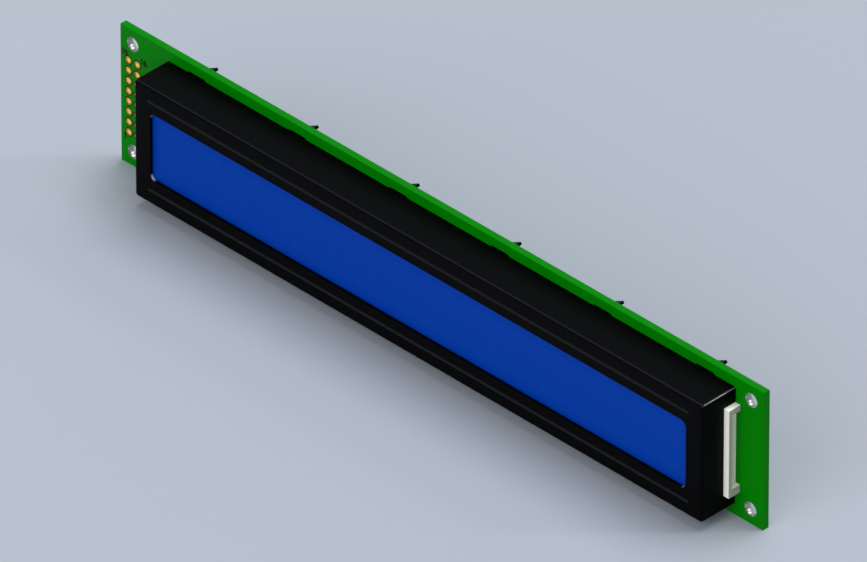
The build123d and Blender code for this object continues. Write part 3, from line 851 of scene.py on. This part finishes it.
def strip(path, width, low, high, closed=False):
    """A strip with a four-cornered section carried along a line of (x, z) points.

    At each point the side direction is the mean of its two runs' normals, divided by the cosine of half the
    turn. Low and high are the depths of its two faces in front of the board.
    """
    path = np.asarray(path, float)
    runs = np.roll(path, -1, axis=0) - path if closed else np.diff(path, axis=0)
    runs = runs / np.linalg.norm(runs, axis=1, keepdims=True)
    before = np.roll(runs, 1, axis=0) if closed else np.vstack([runs[:1], runs])
    after = runs if closed else np.vstack([runs, runs[-1:]])
    mean = before + after
    mean = mean / np.linalg.norm(mean, axis=1, keepdims=True)
    stretch = 1 / np.clip(np.sum(mean * after, axis=1), SHARPEST_MITRE, 1)
    side = np.stack([-mean[:, 1], mean[:, 0]], axis=1) * (stretch * width / 2)[:, None]
    left, right = path + side, path - side
    section = [(left, low), (left, high), (right, high), (right, low)]
    points = np.stack([np.column_stack([p[:, 0], np.full(len(p), -depth), p[:, 1]]) for p, depth in section])
    corners, faces = mesh_of_grid(points * MM, True, closed)
    if not closed:
        first_end = np.arange(len(section)) * len(path)
        last_end = (first_end + len(path) - 1)[::-1]
        faces = np.vstack([faces, first_end, last_end])
    return corners, faces


# %% [markdown]
# Pin numbers are printed beside the first and the last pair of holes in a dark ink. A text object would
# bring a typeface and far more points than a digit a millimetre high needs. Each digit is one stroke of
# a few points, drawn in a box one unit high. The ink lies on the lacquer, a few hundredths of a
# millimetre thick.

# %% Pin numbers
DIGIT_HEIGHT = 1.2
DIGIT_WIDTH = 0.6
DIGIT_STEP = 0.8
STROKE = 0.42
INK = 0.02
DIGITS = {
    "1": [(0.05, 0.78), (0.3, 1.0), (0.3, 0.0)],
    "2": [(0.0, 0.76), (0.1, 0.94), (0.3, 1.0), (0.5, 0.93), (0.58, 0.72), (0.48, 0.5), (0.0, 0.0),
          (0.6, 0.0)],
    "5": [(0.56, 1.0), (0.08, 1.0), (0.04, 0.56), (0.3, 0.63), (0.53, 0.52), (0.6, 0.3), (0.5, 0.08),
          (0.27, 0.0), (0.0, 0.08)],
    "6": [(0.52, 0.94), (0.3, 1.0), (0.1, 0.84), (0.0, 0.45), (0.06, 0.14), (0.28, 0.0), (0.52, 0.1),
          (0.6, 0.3), (0.5, 0.52), (0.28, 0.6), (0.06, 0.48)],
}
# Middle of each number, from the board's lower left corner
NUMBER_PLACES = {"15": (1.15, 27.05), "16": (6.6, 26.95), "1": (1.2, 6.5), "2": (6.65, 6.5)}

ink = grained_finish("dark_printing_ink", {"Roughness": 0.6, "Specular IOR Level": 0.2},
                     0.3, ("#040404", "#0A0A0A"), 0.002)
strokes = []
for number, (u, v) in NUMBER_PLACES.items():
    length = DIGIT_STEP * (len(number) - 1) + DIGIT_WIDTH
    left = board_low[0] + u - length * DIGIT_HEIGHT / 2
    foot = board_low[2] + v - DIGIT_HEIGHT / 2
    for index, digit in enumerate(number):
        corner_place = (left + DIGIT_STEP * DIGIT_HEIGHT * index, foot)
        strokes.append(strip(np.array(DIGITS[digit]) * DIGIT_HEIGHT + corner_place, STROKE, 0.0, INK))
new_piece("pin_numbers", strokes, ink, "solder_mask")

# %% [markdown]
# The back of such a board is where the wiring is. A picture of it could be laid on as a texture, but
# copper has a thickness that catches the light, so every track is a strip. Sixteen of them run from the
# header to the controller. They bend by 45 degrees, as a board designer draws them, and close up into
# evenly spaced lanes. The tracks from the outer holes first climb between two rings of the inner ones.

# %% Tracks from the header
TRACK = 0.27
LANE_PITCH = 0.5
UNDER_RING = 0.3
UNDER_RIM = 0.5
FIRST_BEND = 2.2

drops = [(controller_x, controller_radius)] + [(x, driver_radius) for x in driver_xs]
tracks = []


def inside_rim(radius, z):
    """How far from a drop's middle its rim lies at that height, less what a track runs in under it."""
    return math.sqrt(radius ** 2 - z ** 2) - UNDER_RIM


starts = []
for z in header_rows:
    from_outer = header_columns[0] + UNDER_RING
    starts.append([(header_columns[1] + RING, z)])
    starts.append([(from_outer, z), (from_outer + PITCH / 2, z + PITCH / 2)])
lanes = LANE_PITCH * (np.arange(len(starts)) - (len(starts) - 1) / 2)
bend_x = header_columns[1] + FIRST_BEND
for start, lane in zip(starts, lanes):
    own = start[-1][1]
    end_x = controller_x - inside_rim(controller_radius, lane)
    route = start + [(bend_x, own), (bend_x + abs(own - lane), lane), (end_x, lane)]
    tracks.append((route, TRACK))
print("tracks from the header", len(tracks))

# %% [markdown]
# A bus of straight tracks joins each drop to the next. Two broad tracks along the board's edges feed the
# backlight's pins. Their corners are cut at 45 degrees too.

# %% Bus and supply tracks
BUS_LINES = 6
BUS_PITCH = 0.75
SUPPLY_TRACK = 0.9
EDGE_GAP = 0.95
CORNER_CUT = 0.7

bus_zs = BUS_PITCH * (np.arange(BUS_LINES) - (BUS_LINES - 1) / 2)
for (x0, r0), (x1, r1) in zip(drops, drops[1:]):
    tracks += [([(x0 + inside_rim(r0, z), z), (x1 - inside_rim(r1, z), z)], TRACK) for z in bus_zs]

edge_z = board_high[2] - EDGE_GAP
first_x, pin_z = pins[0]
last_x = pins[-1][0]
supply_tracks = []
for side in (1, -1):
    start_z = side * abs(pin_z)
    cut_z = side * (edge_z - CORNER_CUT)
    route = [(first_x, start_z), (first_x, cut_z), (first_x + CORNER_CUT, side * edge_z),
             (last_x - CORNER_CUT, side * edge_z), (last_x, cut_z), (last_x, start_z)]
    supply_tracks.append((route, SUPPLY_TRACK))
print("bus tracks between two drops", len(bus_zs), "and supply tracks", len(supply_tracks))

# %% [markdown]
# From each drop, fans of tracks run up and down to small plated holes that lead to the contact pads on
# the front. A track leaves the rim at its own angle, bends once and runs straight to its hole. Where a
# chip or a jumper pad is in the way, there is no track.

# %% Fans of tracks
FAN_LINES = 16
FAN_PITCH = 0.95
FAN_DEGREES = 52
FAN_START = 0.95
HOLE_ROW = 12.45
JUMPER_MARGIN = 0.8
CHIP_REACH = 1.5

jumper_low, jumper_high = box_mm("jumper_pads")
offsets = FAN_PITCH * (np.arange(FAN_LINES) - (FAN_LINES - 1) / 2)
via_places = []
for x, radius in drops:
    for side in (1, -1):
        for offset in offsets:
            goal = x + offset
            at_jumper = side > 0 and jumper_low[0] - JUMPER_MARGIN < goal < jumper_high[0] + JUMPER_MARGIN
            at_chip = abs(offset) < CHIP_REACH if side > 0 else x in (drops[0][0], drops[-1][0])
            if at_jumper or at_chip:
                continue
            angle = math.radians(FAN_DEGREES) * offset / offsets[-1]
            rim_x = FAN_START * radius * math.sin(angle)
            rim_z = FAN_START * radius * math.cos(angle)
            bend_z = rim_z + abs(offset - rim_x)
            route = [(x + rim_x, side * rim_z), (goal, side * bend_z), (goal, side * HOLE_ROW)]
            tracks.append((route, TRACK))
            via_places.append(route[-1])
print("tracks in all", len(tracks) + len(supply_tracks), "and plated holes", len(via_places))

# %% [markdown]
# Lacquer covers all the tracks. It is thinner over copper, so they show as raised lines of a lighter
# green. They stand on the board with their foot a little way in it, so that no gap shows under them.

# %% Copper tracks under the lacquer
TRACK_RISE = 0.035
SUNK = 0.005

track_green = grained_finish("lacquer_over_copper", {"Roughness": 0.36, "Specular IOR Level": 0.25},
                             2.0, ("#149420", "#1D9F2A"), 0.004)
strips = [strip(route, width, board_back + SUNK, board_back - TRACK_RISE)
          for route, width in tracks + supply_tracks]
new_piece("covered_tracks", strips, track_green, "solder_mask")

# %% [markdown]
# A small plated hole that lacquer has closed looks like a tiny ring with a dimple. It is turned from a
# profile of seven points, with few sides, because there are more than a hundred.

# %% Covered holes
# Radius, and height above the board's back
VIA_PROFILE = [(0.0, 0.012), (0.1, 0.014), (0.17, 0.045), (0.26, 0.05), (0.33, 0.03), (0.37, -0.01),
               (0.0, -0.01)]
VIA_SIDES = 14

radii, rises = np.array(VIA_PROFILE).T
vias = [turned(radii, board_back - rises, x, z, VIA_SIDES, False) for x, z in via_places]
new_piece("covered_vias", vias, track_green, "solder_mask")

# %% [markdown]
# White ink on the back marks where the resin may spread and where each small part goes. The outlines are
# closed strips: circles round the drops and rectangles round the chips. Resistors lie in rows of five
# under the controller and of two under the last drop, and a capacitor lies over each drop.

# %% Printed outlines on the back
PRINT_WIDTH = 0.18
PRINT_RISE = 0.055
RING_GAP = 0.75
BOX_GAP = 0.35
CHIP_LENGTH = 2.0
SOLDER_REACH = 0.35
SQUARE = [(-1, -1), (1, -1), (1, 1), (-1, 1)]

white_ink = grained_finish("white_printing_ink", {"Roughness": 0.6}, 0.3, ("#E6E8E2", "#F2F3EE"), 0.003)
turn = np.linspace(0, 2 * np.pi, DROP_SIDES, endpoint=False)
circle = np.column_stack([np.cos(turn), np.sin(turn)])
outlines = [circle * (radius + RING_GAP) + (x, 0.0) for x, radius in drops]

cap_low, cap_high = box_mm("chip_end_caps")
resistor_low, resistor_high = box_mm("chip_resistors")
half_width = (resistor_high[2] - resistor_low[2]) / 2
chip_row = (cap_high[2] - cap_low[2]) / 2 - half_width
chips = [(x, chip_row) for x, _ in drops]
chips += [(drops[0][0] + 2 * CHIP_LENGTH * k, -chip_row) for k in range(-2, 3)]
chips += [(drops[-1][0] + CHIP_LENGTH * k, -chip_row) for k in (-1, 1)]
box = np.array(SQUARE) * (CHIP_LENGTH / 2 + SOLDER_REACH + BOX_GAP, half_width + BOX_GAP)
outlines += [box + chip for chip in chips]
printed = [strip(line, PRINT_WIDTH, board_back + SUNK, board_back - PRINT_RISE, True) for line in outlines]
new_piece("printed_outlines", printed, white_ink, "solder_mask")

# %% [markdown]
# The floor is a plain matt sheet. The module stands on its board's lower edge, so the floor lies there.
# Its colour is the backdrop's, made darker by as much as the lamps and the world together are brighter
# than white, so that no horizon shows. A curved backdrop would hide it too, but not from every side.

# %% Floor
FLOOR_HALF = 40.0
FLOOR_SHADE = 0.727

floor_level = board_low[2] * MM
floor_corners = [(FLOOR_HALF * x, FLOOR_HALF * y, floor_level) for x, y in SQUARE]
floor_mesh = bpy.data.meshes.new("floor")
floor_mesh.from_pydata(floor_corners, [], [(0, 1, 2, 3)])
floor = bpy.data.objects.new("floor", floor_mesh)
bpy.context.scene.collection.objects.link(floor)
shade = [channel * FLOOR_SHADE for channel in srgb(BACKDROP)[:3]]
floor_paint = start_finish("matt_floor", {"Base Color": (*shade, 1.0), "Roughness": 0.9,
                                          "Specular IOR Level": 0.0})[0]
floor_mesh.materials.append(floor_paint)
print("floor at", round(floor_level, 5))

# %% Nodes left undressed
print("undressed nodes", sorted(set(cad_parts) - set(dressed)))
